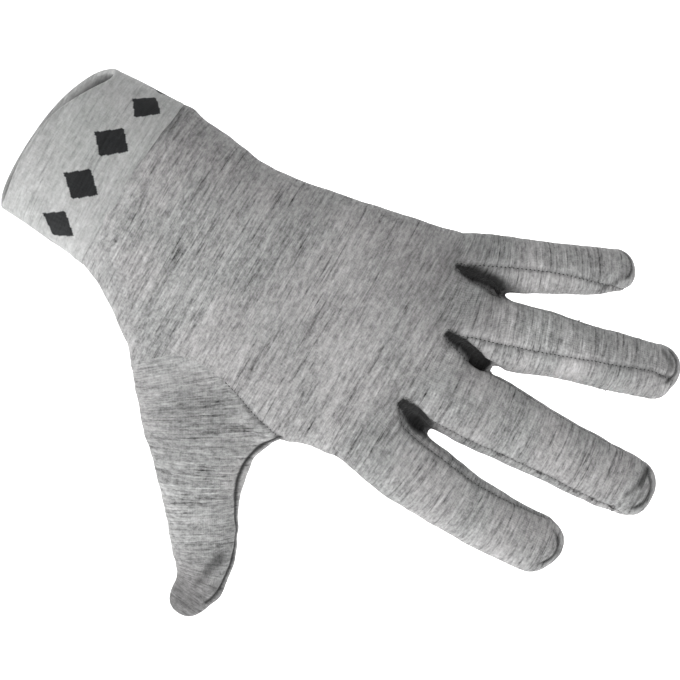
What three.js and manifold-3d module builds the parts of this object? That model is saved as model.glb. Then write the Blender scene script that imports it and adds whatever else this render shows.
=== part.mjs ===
// A thin knitted glove liner for the left hand, in the shape that the hand inside gives it.
//
// It is cut and sewn from six pieces of cloth: a hand shell that wraps round the palm, the back and all
// four fingers, a thumb, a narrow side strip in each of the three gaps between the fingers, and a cuff
// that is folded double. Every piece is a hollow wall of cloth, open where the hand goes in.
//
// Millimetres and degrees. +X runs from the cuff to the fingertips, +Z towards the little finger, and the
// back of the hand faces -Y. The origin is the middle of the cuff's opening.

import * as THREE from "three";
import { mergeVertices } from "three/addons/utils/BufferGeometryUtils.js";
import Module from "manifold-3d";

const wasm = await Module();
wasm.setup();

// Cloth
const clothWall = 1.2; // one layer of fine knit
const cuffWall = 2.4; // two layers at the cuff
const seamGap = 0.3; // between the edges of pieces that are sewn together

// Cuff
const cuffLength = 30;
const cuffStep = 0.7; // how far the doubled cloth stands proud of the hand at the seam
const rimWidth = 61.6; // across the opening, from edge to edge of the wrist
const rimDepth = 43; // from the back of the wrist to its inside
const rimSlant = 5.2; // how far the opening leans towards the hand at the little finger's edge
const rimBow = 6.8; // how far the opening reaches back along the arm on the back of the wrist
const seamSlant = 2; // how far the cuff's seam leans towards the fingers at the little finger's edge

// Hand, from the cuff's seam to the gaps between the fingers
const handLength = 120;
const handWidth = 91; // across the knuckles
const handDepth = 32;
const knuckleArc = 13; // how far the knuckle line falls back at the hand's two edges

// Each row is one section across the hand. along is a share of handLength. little and thumb are how far
// the section reaches to those sides of the X axis, as shares of handWidth, and back and palm how far it
// reaches to those sides, as shares of handDepth. arc and slant are shares of knuckleArc and seamSlant.
const handSections = [
  { along: 0, little: 0.355, thumb: 0.369, back: 0.64, palm: 0.7, arc: 0, slant: 1 },
  { along: 0.06, little: 0.345, thumb: 0.4, back: 0.63, palm: 0.69, arc: 0, slant: 0.5 },
  { along: 0.13, little: 0.331, thumb: 0.464, back: 0.6, palm: 0.68, arc: 0, slant: 0 },
  { along: 0.2, little: 0.323, thumb: 0.535, back: 0.575, palm: 0.67, arc: 0, slant: 0 },
  { along: 0.28, little: 0.318, thumb: 0.565, back: 0.555, palm: 0.66, arc: 0, slant: 0 },
  { along: 0.42, little: 0.335, thumb: 0.565, back: 0.53, palm: 0.64, arc: 0.05, slant: 0 },
  { along: 0.57, little: 0.378, thumb: 0.56, back: 0.5, palm: 0.61, arc: 0.15, slant: 0 },
  { along: 0.68, little: 0.408, thumb: 0.602, back: 0.48, palm: 0.59, arc: 0.25, slant: 0 },
  { along: 0.73, little: 0.421, thumb: 0.605, back: 0.47, palm: 0.58, arc: 0.32, slant: 0 },
  { along: 0.77, little: 0.434, thumb: 0.575, back: 0.46, palm: 0.57, arc: 0.4, slant: 0 },
  { along: 0.88, little: 0.455, thumb: 0.52, back: 0.42, palm: 0.53, arc: 0.6, slant: 0 },
  { along: 0.98, little: 0.485, thumb: 0.51, back: 0.32, palm: 0.49, arc: 0.85, slant: 0 },
  { along: 1.06, little: 0.45, thumb: 0.45, back: 0.06, palm: 0.47, arc: 1, slant: 0 },
  { along: 1.125, little: 0.29, thumb: 0.31, back: -0.22, palm: 0.44, arc: 1, slant: 0 },
];

// Fingers. along and across say where a finger's root lies, as shares of handLength from the cuff's seam
// and of handWidth from the X axis, and level is its depth there as a share of handDepth, towards the palm.
// spread is the finger's angle to +X in the plane of the hand, and bend how much that angle grows on the
// way to the tip. dip is its slope towards the palm at the root, and curl how much that grows. roll turns
// the finger about its own length, so that its back faces the little finger's edge.
const fingers = {
  little: { along: 0.833, across: 0.316, level: 0.14, length: 75, width: 19, depth: 16.5,
    spread: 27.5, bend: 0, dip: 4, curl: 8, roll: 30 },
  ring: { along: 0.848, across: 0.109, level: 0.03, length: 101.5, width: 22.9, depth: 18.5,
    spread: 17, bend: 0, dip: 4, curl: 8, roll: 27 },
  middle: { along: 0.848, across: -0.091, level: -0.02, length: 111, width: 25, depth: 19.5,
    spread: 3, bend: 2, dip: 4, curl: 8, roll: 6 },
  index: { along: 0.848, across: -0.344, level: 0.03, length: 93.5, width: 23.8, depth: 19,
    spread: -2.7, bend: 20.5, dip: 4, curl: 8, roll: 4 },
};

// A finger's width and depth on its way to the tip, as shares of its own width and depth.
const fingerSections = [
  { along: 0, width: 1.02, depth: 1.16 },
  { along: 0.28, width: 1.1, depth: 1.13 },
  { along: 0.4, width: 1.06, depth: 1.06 },
  { along: 0.5, width: 1, depth: 1 },
  { along: 0.62, width: 0.93, depth: 0.95 },
  { along: 0.76, width: 0.9, depth: 0.92 },
  { along: 0.89, width: 0.88, depth: 0.87 },
];
const fingerTip = 0.47; // length of the rounded tip, as a share of the finger's width

// Thumb. Its root is given as a finger's is. Each row turns it on, sets its size and says how far it has
// sunk towards the palm, as a share of its depth.
const thumb = { along: 0.275, across: -0.26, level: 0.12, length: 116.1, width: 46, depth: 30 };
const thumbSections = [
  { along: 0, angle: -51.9, width: 0.961, depth: 1, sink: 0 },
  { along: 0.24, angle: -47.8, width: 0.965, depth: 0.98, sink: 0.04 },
  { along: 0.42, angle: -59.2, width: 0.926, depth: 0.87, sink: 0.1 },
  { along: 0.53, angle: -65.7, width: 0.724, depth: 0.77, sink: 0.15 },
  { along: 0.65, angle: -55.1, width: 0.552, depth: 0.7, sink: 0.21 },
  { along: 0.78, angle: -54.3, width: 0.509, depth: 0.65, sink: 0.26 },
  { along: 0.87, angle: -75.3, width: 0.402, depth: 0.57, sink: 0.29 },
  { along: 0.95, angle: -98.7, width: 0.321, depth: 0.47, sink: 0.31 },
];
const thumbTip = 0.217; // length of the rounded tip, as a share of the thumb's width

// The thumb's seam in the plane of the hand: along and across are shares of handLength from the cuff's
// seam and of handWidth from the X axis.
const thumbSeam = [
  { along: 0.215, across: -0.68 },
  { along: 0.255, across: -0.6 },
  { along: 0.305, across: -0.525 },
  { along: 0.38, across: -0.458 },
  { along: 0.49, across: -0.462 },
  { along: 0.575, across: -0.495 },
  { along: 0.635, across: -0.528 },
  { along: 0.74, across: -0.555 },
  { along: 0.82, across: -0.6 },
];

// Side strips. Each lies in the gap between two fingers and runs up the facing side of both. above and
// below are how far along its two fingers it starts, as shares of their lengths. Its two halves are parted
// by a line from root past crotch, where the gap opens, both given as the thumb's seam is. turnAbove and
// turnBelow are how far the strip is turned round each finger from its usual place, in degrees, at its
// start and at its tip. Its palm edge stays in place where that is negative.
const strips = [
  { upper: "little", above: 0.12, turnAbove: [-12, 45], lower: "ring", below: 0.235, turnBelow: [14, 14],
    root: { along: 0.92, across: 0.353 }, crotch: { along: 1.073, across: 0.357 } },
  { upper: "ring", above: 0.165, turnAbove: [0, -40], lower: "middle", below: 0.27, turnBelow: [25, 25],
    root: { along: 0.994, across: 0.11 }, crotch: { along: 1.129, across: 0.081 } },
  { upper: "middle", above: 0.135, turnAbove: [17, 17], lower: "index", below: 0.15, turnBelow: [3, 30],
    root: { along: 0.981, across: -0.204 }, crotch: { along: 1.086, across: -0.241 } },
];

// A strip's two edges on a finger, as degrees round the finger from its back. along is a share of the way
// from the strip's start to the finger's tip.
const stripSections = [
  { along: 0, back: 60, palm: 96 },
  { along: 0.03, back: 50, palm: 110 },
  { along: 0.09, back: 47, palm: 120 },
  { along: 0.2, back: 47, palm: 124 },
  { along: 0.6, back: 47, palm: 124 },
  { along: 0.85, back: 52, palm: 118 },
  { along: 0.97, back: 76, palm: 100 },
];
const stripReach = 2.1; // how far the strip's cut reaches out, as a share of half the finger's width

// Fineness
const handSides = 34;
const fingerSides = 20;
const thumbSides = 22;
const tipSteps = 3;
const roundness = 2.3; // 2 is an ellipse, and more is squarer

const radians = THREE.MathUtils.degToRad;
const lerp = THREE.MathUtils.lerp;

// A closed solid through rings that all have the same number of points, with a flat fan at each end.
function loft(rings) {
  const sides = rings[0].length;
  const points = rings.flat();
  const faces = [];
  for (let r = 0; r + 1 < rings.length; r++) {
    for (let i = 0; i < sides; i++) {
      const a = r * sides + i;
      const b = r * sides + ((i + 1) % sides);
      faces.push(a, b + sides, b, a, a + sides, b + sides);
    }
  }
  const caps = [rings[0], rings[rings.length - 1]];
  caps.forEach((ring, end) => {
    const middle = ring.reduce((sum, p) => sum.add(p), new THREE.Vector3()).divideScalar(sides);
    const start = end ? (rings.length - 1) * sides : 0;
    const centre = points.push(middle) - 1;
    for (let i = 0; i < sides; i++) {
      const a = start + i;
      const b = start + ((i + 1) % sides);
      faces.push(...(end ? [centre, b, a] : [centre, a, b]));
    }
  });
  return new THREE.BufferGeometry().setFromPoints(points).setIndex(faces);
}

// three.js geometry to a manifold solid, and back.
function solidOf(geometry) {
  const bare = new THREE.BufferGeometry();
  bare.setAttribute("position", geometry.getAttribute("position"));
  bare.setIndex(geometry.getIndex());
  const merged = mergeVertices(bare, 1e-4);
  const mesh = new wasm.Mesh({
    numProp: 3,
    vertProperties: merged.getAttribute("position").array,
    triVerts: new Uint32Array(merged.getIndex().array),
  });
  return new wasm.Manifold(mesh);
}

function geometryOf(solid) {
  const mesh = solid.getMesh();
  const geometry = new THREE.BufferGeometry();
  geometry.setAttribute("position", new THREE.BufferAttribute(mesh.vertProperties, 3));
  geometry.setIndex(new THREE.BufferAttribute(mesh.triVerts, 1));
  geometry.computeVertexNormals();
  return geometry;
}

// The share of a full half-width that a squared ellipse has in each direction.
function squared(value) {
  return Math.sign(value) * Math.abs(value) ** (2 / roundness);
}

// A table's row at a share of the way along, between the two nearest rows.
function rowAt(table, along) {
  const next = Math.max(1, table.findIndex((row) => row.along >= along));
  const [a, b] = along >= table.at(-1).along ? table.slice(-2) : [table[next - 1], table[next]];
  const share = THREE.MathUtils.clamp((along - a.along) / (b.along - a.along), 0, 1);
  return Object.fromEntries(Object.keys(a).map((key) => [key, lerp(a[key], b[key], share)]));
}

// The hand's section at one row, taken in by the thickness of the wall.
function handRing(row, takenIn) {
  const depth = (row.back + row.palm) * handDepth;
  const middle = ((row.palm - row.back) * handDepth) / 2;
  const ring = [];
  for (let i = 0; i < handSides; i++) {
    const turn = (2 * Math.PI * i) / handSides;
    const across = squared(Math.cos(turn));
    const z = across * ((across > 0 ? row.little : row.thumb) * handWidth - takenIn);
    const y = middle + squared(Math.sin(turn)) * (depth / 2 - takenIn);
    const fall = row.arc * knuckleArc * (z / (handWidth / 2)) ** 2;
    const lean = row.slant * seamSlant * across;
    ring.push(new THREE.Vector3(cuffLength + row.along * handLength - fall + lean, y, z));
  }
  return ring;
}

function handSolid(takenIn) {
  const rings = handSections.map((row) => handRing(row, takenIn));
  if (takenIn) {
    // The hollow runs out past the cuff's seam, and stops one wall short of the gaps between the fingers.
    rings.at(-1).forEach((p) => (p.x -= takenIn));
    rings.at(-2).forEach((p) => (p.x -= takenIn));
    rings.unshift(rings[0].map((p) => p.clone().setX(p.x - cuffLength / 2)));
  } else {
    rings[0].forEach((p) => (p.x += seamGap));
  }
  return solidOf(loft(rings));
}

// Stations along a bent digit: the middle of each section, the directions across it and through it, and
// its half sizes. steps hold along, angle in the plane of the hand, slope towards the palm, roll, width
// and depth.
function stations(root, length, steps, takenIn) {
  const at = root.clone();
  let last = steps[0];
  return steps.map((step) => {
    const angle = radians((step.angle + last.angle) / 2);
    const slope = radians((step.slope + last.slope) / 2);
    const run = (step.along - last.along) * length;
    at.x += run * Math.cos(angle) * Math.cos(slope);
    at.z += run * Math.sin(angle) * Math.cos(slope);
    at.y += run * Math.sin(slope);
    last = step;
    const turned = new THREE.Euler(radians(-step.roll), radians(-step.angle), 0, "YXZ");
    const across = new THREE.Vector3(0, 0, 1).applyEuler(turned);
    const through = new THREE.Vector3(0, 1, 0).applyEuler(turned);
    const half = { across: step.width / 2 - takenIn, through: step.depth / 2 - takenIn };
    return { at: at.clone(), across, through, half, along: step.along };
  });
}

function ringRound(station, sides) {
  const ring = [];
  for (let i = 0; i < sides; i++) {
    const turn = (2 * Math.PI * i) / sides;
    const point = station.at.clone();
    point.addScaledVector(station.across, squared(Math.cos(turn)) * station.half.across);
    point.addScaledVector(station.through, squared(Math.sin(turn)) * station.half.through);
    ring.push(point);
  }
  return ring;
}

// A table's steps, followed by the shrinking steps of a rounded tip.
function withTip(steps, tip, length) {
  const last = steps.at(-1);
  const body = steps.filter((step) => step.along < 1 - tip / length);
  const before = { ...last, along: 1 - tip / length };
  const closing = [];
  for (let i = 0; i <= tipSteps; i++) {
    const turn = (Math.PI / 2) * (i / (tipSteps + 0.35));
    const share = Math.cos(turn) ** (2 / roundness);
    const along = before.along + (tip / length) * Math.sin(turn) ** (2 / roundness);
    closing.push({ ...before, along, width: last.width * share, depth: last.depth * share });
  }
  return [...body, ...closing];
}

function rootOf(digit) {
  return new THREE.Vector3(
    cuffLength + digit.along * handLength,
    digit.level * handDepth,
    digit.across * handWidth,
  );
}

function fingerStations(finger, takenIn) {
  const steps = fingerSections.map((row) => ({
    along: row.along,
    angle: finger.spread + finger.bend * (row.along - 0.5),
    slope: finger.dip + finger.curl * row.along,
    roll: finger.roll,
    width: row.width * finger.width,
    depth: row.depth * finger.depth,
  }));
  const length = finger.length - takenIn;
  return stations(rootOf(finger), length, withTip(steps, fingerTip * finger.width, length), takenIn);
}

function thumbStations(takenIn) {
  const steps = thumbSections.map((row) => ({
    along: row.along,
    angle: row.angle,
    slope: 0,
    roll: 0,
    width: row.width * thumb.width,
    depth: row.depth * thumb.depth,
  }));
  const length = thumb.length - takenIn;
  const made = stations(rootOf(thumb), length, withTip(steps, thumbTip * thumb.width, length), takenIn);
  made.forEach((s) => (s.at.y += rowAt(thumbSections, s.along).sink * thumb.depth));
  return made;
}

function digitSolid(digitStations, sides) {
  return solidOf(loft(digitStations.map((s) => ringRound(s, sides))));
}

function wholeGlove(takenIn) {
  let whole = handSolid(takenIn).add(digitSolid(thumbStations(takenIn), thumbSides));
  for (const finger of Object.values(fingers)) {
    whole = whole.add(digitSolid(fingerStations(finger, takenIn), fingerSides));
  }
  return whole;
}

// A prism through the whole depth of the hand over an outline in its plane.
function prismOver(outline) {
  const deep = 5 * handDepth;
  const made = new THREE.ExtrudeGeometry(new THREE.Shape(outline), { depth: deep, bevelEnabled: false });
  made.rotateX(Math.PI / 2).translate(0, deep / 2, 0);
  const bare = new THREE.BufferGeometry();
  bare.setAttribute("position", made.getAttribute("position"));
  return solidOf(mergeVertices(bare, 1e-4));
}

// The wedge of space that holds one side of a finger, from its middle line outwards. side is 1 on the
// thumb's side of the finger and -1 on the other. turns are the strip's turn at its start and its tip, and
// wider opens it by the gap of a seam.
function sideWedge(finger, side, start, turns, wider) {
  const more = wider / finger.length;
  const tip = 1 - stripSections.at(-1).along;
  const ends = { from: start - more, to: 1 - tip * (1 - start) + more };
  const shares = stripSections.map((row) => start + row.along * (1 - start));
  shares[0] = ends.from;
  shares[shares.length - 1] = ends.to;
  const steps = [0, ...shares].map((along) => {
    const row = rowAt(fingerSections, along);
    return {
      along,
      angle: finger.spread + finger.bend * (along - 0.5),
      slope: finger.dip + finger.curl * along,
      roll: finger.roll,
      width: row.width * finger.width,
      depth: row.depth * finger.depth,
    };
  });
  const rings = stations(rootOf(finger), finger.length, steps, 0).slice(1).map((s, i) => {
    const turned = lerp(turns[0], turns[1], stripSections[i].along ** 3);
    const back = stripSections[i].back + turned;
    const palm = stripSections[i].palm + Math.max(turned, 0);
    const opened = THREE.MathUtils.radToDeg(wider / s.half.across);
    const reach = stripReach * s.half.across;
    const out = (degrees) => {
      const turn = radians(degrees);
      const point = s.at.clone().addScaledVector(s.across, -side * Math.sin(turn) * reach);
      return point.addScaledVector(s.through, -Math.cos(turn) * reach);
    };
    const heel = s.at.clone().addScaledVector(s.across, side * 0.1);
    const ring = [heel, out(back - opened), out((back + palm) / 2), out(palm + opened)];
    return side > 0 ? ring.reverse() : ring;
  });
  return solidOf(loft(rings));
}

// The cut for the strip between two neighbouring fingers: a wedge on the facing side of each, both kept
// to their own side of the line that parts them.
function stripCut(strip, wider) {
  const [upper, lower] = [fingers[strip.upper], fingers[strip.lower]];
  const [upperTip, lowerTip] = [upper, lower].map((finger) => fingerStations(finger, 0).at(-1).at);
  const inHand = (p) => new THREE.Vector2(cuffLength + p.along * handLength, p.across * handWidth);
  const root = inHand(strip.root);
  const crotch = inHand(strip.crotch);
  const tip = new THREE.Vector2((upperTip.x + lowerTip.x) / 2, (upperTip.z + lowerTip.z) / 2);
  const line = [root.clone().multiplyScalar(2).sub(crotch), crotch, tip.multiplyScalar(2).sub(crotch)];
  const half = (side) => {
    const lap = new THREE.Vector2(0, -side * (0.05 + wider));
    const shift = new THREE.Vector2(0, side * handWidth);
    const near = line.map((p) => p.clone().add(lap));
    return prismOver([...near, near[2].clone().add(shift), near[0].clone().add(shift)]);
  };
  const above = sideWedge(upper, 1, strip.above, strip.turnAbove, wider).intersect(half(1));
  const below = sideWedge(lower, -1, strip.below, strip.turnBelow, wider).intersect(half(-1));
  return above.add(below);
}

// The prism through the hand that holds the thumb, with its seam moved out by wider.
function thumbCut(wider) {
  const seam = thumbSeam.map(
    (p) => new THREE.Vector2(cuffLength + p.along * handLength, p.across * handWidth + wider),
  );
  seam[0].x -= wider;
  const far = -2 * thumb.length;
  return prismOver([new THREE.Vector2(seam[0].x, far), new THREE.Vector2(2 * handLength, far),
    new THREE.Vector2(2 * handLength, seam.at(-1).y), ...seam.reverse()]);
}

// The cuff: one wall of doubled cloth, folded at the opening and sewn to the hand at its other end.
function cuffGeometry() {
  const seam = handRing(handSections[0], 0);
  const profile = [];
  const lengthSteps = 5;
  for (let i = 0; i <= lengthSteps; i++) profile.push({ along: 1 - (0.97 * i) / lengthSteps, inset: 0 });
  profile.push({ along: 0, inset: 0.3 }, { along: 0, inset: 0.7 });
  for (let i = lengthSteps; i >= 0; i--) profile.push({ along: 1 - (0.97 * i) / lengthSteps, inset: 1 });
  const points = [];
  for (const { along, inset } of profile) {
    for (let i = 0; i < handSides; i++) {
      const turn = (2 * Math.PI * i) / handSides;
      const across = squared(Math.cos(turn));
      const deep = squared(Math.sin(turn));
      const proud = along * cuffStep - inset * cuffWall;
      const flare = along ** 1.7;
      const z = lerp((across * rimWidth) / 2, seam[i].z, flare) + across * proud;
      const y = lerp((deep * rimDepth) / 2, seam[i].y, flare) + deep * proud;
      const rim = rimSlant * Math.cos(turn) - rimBow * Math.max(0, -Math.sin(turn));
      points.push(new THREE.Vector3(lerp(rim, seam[i].x, along), y, z));
    }
  }
  const faces = [];
  for (let r = 0; r < profile.length; r++) {
    const next = (r + 1) % profile.length;
    for (let i = 0; i < handSides; i++) {
      const j = (i + 1) % handSides;
      const [a, b] = [r * handSides + i, r * handSides + j];
      const [c, d] = [next * handSides + j, next * handSides + i];
      faces.push(a, b, c, a, c, d);
    }
  }
  return new THREE.BufferGeometry().setFromPoints(points).setIndex(faces);
}

// Materials
const melange = new THREE.MeshStandardMaterial({ color: 0x9d9c9b, roughness: 0.92, metalness: 0 });
const melangeLight = new THREE.MeshStandardMaterial({ color: 0xb4b4b2, roughness: 0.92, metalness: 0 });

const glove = new THREE.Group();

function addPiece(name, geometry, material) {
  const mesh = new THREE.Mesh(geometry, material);
  mesh.name = name;
  glove.add(mesh);
}

const shell = wholeGlove(0).subtract(wholeGlove(clothWall));
let handShell = shell.subtract(thumbCut(seamGap));
addPiece("thumb", geometryOf(shell.intersect(thumbCut(0))), melange);

for (const strip of strips) {
  const cloth = shell.intersect(stripCut(strip, 0));
  handShell = handShell.subtract(stripCut(strip, seamGap));
  addPiece(`side_strip_${strip.upper}_${strip.lower}`, geometryOf(cloth), melange);
}
addPiece("hand_shell", geometryOf(handShell), melange);
addPiece("cuff", cuffGeometry(), melangeLight);

export default glove;
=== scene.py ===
import math

import bpy
import numpy as np
from bpy.props import FloatProperty, FloatVectorProperty, IntProperty, PointerProperty
from mathutils import Matrix, Vector, noise
from mathutils.bvhtree import BVHTree


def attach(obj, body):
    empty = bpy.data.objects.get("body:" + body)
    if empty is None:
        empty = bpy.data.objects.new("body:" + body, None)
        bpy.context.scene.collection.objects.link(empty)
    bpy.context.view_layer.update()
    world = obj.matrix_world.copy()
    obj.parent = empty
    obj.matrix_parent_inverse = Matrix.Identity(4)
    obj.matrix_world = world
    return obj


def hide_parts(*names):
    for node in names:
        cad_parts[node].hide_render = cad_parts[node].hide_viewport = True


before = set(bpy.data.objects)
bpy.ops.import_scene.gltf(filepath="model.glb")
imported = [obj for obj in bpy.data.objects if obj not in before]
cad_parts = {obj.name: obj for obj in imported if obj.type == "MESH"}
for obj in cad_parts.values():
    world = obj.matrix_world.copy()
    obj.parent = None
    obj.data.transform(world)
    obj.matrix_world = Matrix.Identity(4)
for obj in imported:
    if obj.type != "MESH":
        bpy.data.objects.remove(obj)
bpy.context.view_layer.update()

bl_info = {
    "name": "Knitted Glove Liner",
    "version": (1, 0, 0),
    "blender": (4, 5, 0),
    "location": "3D Viewport > Sidebar > Glove Liner",
    "description": "Makes a thin knitted glove liner with its cuff, side strips and stitches",
    "category": "Add Mesh",
}

MM = 0.001

# The cloth's outer shape repeats the measures of the CAD solids, in millimetres. +X runs from the cuff to
# the fingertips, +Z towards the little finger, and the back of the hand faces -Y.
CUFF_LENGTH = 30.0
RIM_WIDTH, RIM_DEPTH = 61.6, 43.0
SEAM_SLANT = 2.0
HAND_LENGTH, HAND_WIDTH, HAND_DEPTH = 120.0, 91.0, 32.0
KNUCKLE_ARC = 13.0
ROUNDNESS = 2.3

# Degrees round the cuff from its little-finger side over the palm, and the rim's place there
RIM = [
    (0, 3.0), (30, -3.3), (60, -9.4), (90, -13.0), (120, -12.8), (150, -10.4), (180, -6.2),
    (210, -5), (240, -6.2), (270, -7.2), (300, 0.3), (330, 6.7), (360, 3.0),
]
# Share of the cuff's length that the turn of its fold takes up
FOLD_SHARE = 0.035
# The knit's level inside the cuff at its seam. Outside it is nought at the seam and grows to the rim
LINING_LEVEL = 96

# Along, little, thumb, back, palm, arc
HAND_SECTIONS = [
    (-0.05, 0.358, 0.36, 0.64, 0.7, 0),
    (0, 0.355, 0.369, 0.64, 0.7, 0),
    (0.06, 0.345, 0.4, 0.63, 0.69, 0),
    (0.13, 0.331, 0.464, 0.6, 0.68, 0),
    (0.2, 0.323, 0.535, 0.575, 0.67, 0),
    (0.28, 0.318, 0.565, 0.555, 0.66, 0),
    (0.42, 0.335, 0.565, 0.53, 0.64, 0.05),
    (0.57, 0.378, 0.56, 0.5, 0.61, 0.15),
    (0.68, 0.408, 0.602, 0.48, 0.59, 0.25),
    (0.73, 0.421, 0.605, 0.47, 0.58, 0.32),
    (0.77, 0.434, 0.575, 0.46, 0.57, 0.4),
    (0.88, 0.455, 0.52, 0.42, 0.53, 0.6),
    (0.98, 0.485, 0.51, 0.32, 0.49, 0.85),
    (1.06, 0.45, 0.45, 0.06, 0.47, 1),
    (1.125, 0.29, 0.31, -0.22, 0.44, 1),
]

# Along, across, level, length, width, depth, spread, bend, dip, curl, roll
FINGERS = {
    "little": (0.833, 0.316, 0.14, 75, 19, 16.5, 27.5, 0, 4, 8, 30),
    "ring": (0.848, 0.109, 0.03, 101.5, 22.9, 18.5, 17, 0, 4, 8, 27),
    "middle": (0.848, -0.091, -0.02, 111, 25, 19.5, 3, 2, 4, 8, 6),
    "index": (0.848, -0.344, 0.03, 93.5, 23.8, 19, -2.7, 20.5, 4, 8, 4),
}
# Along, width, depth
FINGER_SECTIONS = [
    (0, 1.02, 1.16),
    (0.28, 1.1, 1.13),
    (0.4, 1.06, 1.06),
    (0.5, 1, 1),
    (0.62, 0.93, 0.95),
    (0.76, 0.9, 0.92),
    (0.89, 0.88, 0.87),
]
FINGER_TIP = 0.47

# Along, across, level, length, width, depth
THUMB = (0.275, -0.26, 0.12, 116.1, 46, 30)
# Along, angle, width, depth, sink
THUMB_SECTIONS = [
    (0, -51.9, 0.961, 1, 0),
    (0.24, -47.8, 0.965, 0.98, 0.04),
    (0.42, -59.2, 0.926, 0.87, 0.1),
    (0.53, -65.7, 0.724, 0.77, 0.15),
    (0.65, -55.1, 0.552, 0.7, 0.21),
    (0.78, -54.3, 0.509, 0.65, 0.26),
    (0.87, -75.3, 0.402, 0.57, 0.29),
    (0.915, -95, 0.321, 0.47, 0.31),
]
THUMB_TIP = 0.217
# Along, across
THUMB_SEAM = [
    (0.215, -0.68), (0.255, -0.6), (0.305, -0.525), (0.38, -0.458), (0.49, -0.462),
    (0.575, -0.495), (0.635, -0.528), (0.74, -0.555), (0.82, -0.6),
]
# The web of cloth in the corner between thumb and index finger: its ends, its half sizes across and
# through the corner, and how far it bellies out
WEB = [(115.5, 2.5, -47.0), (108.0, 7.5, -65.0)]
WEB_ACROSS, WEB_THROUGH, WEB_BELLY = 2.0, 3.6, 1.4

# The hollow at the root of each gap: half width, spread, how far past the crotch its shade and its dent
# go, and the depth of the dent
HOLLOW = [(2.0, 1.0, 9, 1.5, 2.4), (2.4, 0.55, 3, 8, 3.6), (2.7, 1.0, 9, 0.5, 2.4)]
# How far a hollow's shade reaches to the little finger's side of its line and to the thumb's side
HOLLOW_REACH = (5.2, 3.0)
# No hollow has an effect this far from its line
HOLLOW_LIMIT = 30
# How far before its root a strip starts, as a narrow leaf on the back, which is painted dark with the
# hollow's painted shade
LEAF_START = 1.2

# Upper finger, where the strip starts on it and how far it is turned round it at its start and its tip,
# the same for the lower finger, and the places of the line's root and crotch that part its two halves
STRIPS = [
    ("little", 0.12, (-12, 45), "ring", 0.235, (14, 14), (0.92, 0.353), (1.073, 0.357)),
    ("ring", 0.165, (0, -40), "middle", 0.27, (25, 25), (0.994, 0.11), (1.129, 0.081)),
    ("middle", 0.135, (17, 17), "index", 0.15, (3, 30), (0.981, -0.204), (1.086, -0.241)),
]
# Along the strip, degrees round the finger of the edge near its back and of the edge near the palm
STRIP_SECTIONS = [
    (0, 60, 96),
    (0.03, 50, 110),
    (0.09, 47, 120),
    (0.2, 47, 124),
    (0.6, 47, 124),
    (0.85, 52, 118),
    (0.97, 76, 100),
]

# Painted light and shade: spots where the cloth's colour is made lighter or darker as the light falls on it:
# X, Z, reach, gain
PAINTED_LIGHT_SPOTS = [
    (32.4, -13.8, 12, 0.14),
    (36.7, 26.6, 9, -0.13),
    (58.4, 22.6, 14, -0.06),
    (134.7, 21.9, 18, -0.27),
    (180.9, 28.3, 15, 0.37),
    (64.8, -22.1, 22, 0.17),
    (48.3, 15.8, 13, -0.08),
    (102.6, -84.4, 15, 0.27),
    (81.0, -57.6, 13, -0.13),
    (97.0, -7.0, 20, -0.09),
    (191.0, -3.6, 17, 0.1),
    (181.0, -37.8, 14, 0.08),
]
# Painted shade at the tips, in lines where the cloth turns away from the light: X and Z of both ends, reach,
# depth
TIP_SHADE_LINES = [
    (121.2, -97.5, 118.7, -110.3, 3.0, 0.56),
    (125.1, -107.3, 119.8, -116.1, 2.4, 0.5),
    (114.4, -101.6, 111.0, -110.9, 2.4, 0.34),
    (234.4, 5.6, 234.4, -0.5, 1.6, 0.74),
    (234.4, -0.5, 231.7, -6.1, 1.3, 0.5),
    (237.2, 0.8, 235.5, -7.9, 1.1, 0.42),
    (218.1, 43.9, 223.2, 41.3, 1.5, 0.52),
    (223.2, 41.3, 222.9, 35.9, 1.2, 0.45),
    (225.5, 38.2, 220.2, 35.5, 0.8, 0.5),
    (192.5, 61.8, 191.4, 55.5, 1.5, 0.46),
    (191.4, 55.5, 186.4, 49.7, 1.2, 0.34),
]
# Where the cloth stands out from the pattern, or lies closer: X, Z, reach, rise
SWELLS = [
    (50.4, 30.7, 11, 1.1),
    (33.1, 32.6, 4, 1.2),
    (126.7, -110.8, 4.5, 1.4),
    (220.8, -41.6, 4.5, -1.3),
    (232.0, -13.6, 5.5, -1.2),
    (193.9, 53.4, 4.5, -1.2),
    (226.5, 34.4, 4.5, -1.1),
]
# The thumb's inner seam from the web to the tip: X, Z
INNER_SEAM = [
    (117.7, -50.0), (113.1, -56.6), (111.8, -63.2), (112.4, -69.7), (114.9, -76.3),
    (118.9, -82.7), (123.2, -89.5), (125.4, -96.3), (126.9, -104.6), (125.0, -113.4),
]

# The pattern's fields come in this order: the cuff, the thumb and the three strips. A piece of cloth has the
# number of its field. The hand shell is what is left, and the cuff is made on its own.
SHELL, THUMB_PIECE, FIRST_STRIP, CUFF_PIECE = 0, 1, 2, -1
PIECES = ["hand_shell", "thumb"] + [f"side_strip_{strip[0]}_{strip[3]}" for strip in STRIPS]
# How far apart the strips lie in the knit, so that the melange doesn't run on from one to the next
STRIP_SHIFT = 37.0
# The places of the thumb and the cuff in the knit, away from the hand's
THUMB_PLACE, CUFF_PLACE = (447, 61), 800

# Along a seam the cloth sinks in over the first width, and stands proud beside it
SEAM_WIDTH, PROUD_AT, PROUD_WIDTH, PROUD_SHARE = 0.95, 2.4, 1.2, 0.35
# The thumb's base seam draws the cloth in from the first X on, fully past the run that follows. Before it
# the cloth counts as this far away from the seam
TIGHT_FROM, TIGHT_RUN, LOOSE_GAP = 86, 16, 2.4
# The thumb's stitches show from this X on
STITCHED_FROM = 92
# The cloth's slow and quick unevenness: shift, size, height
UNEVEN = [(40, 16, 0.5), (0, 6, 0.16)]
# How far stitches sink into the cloth
STITCH_SINK = 0.03

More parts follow.
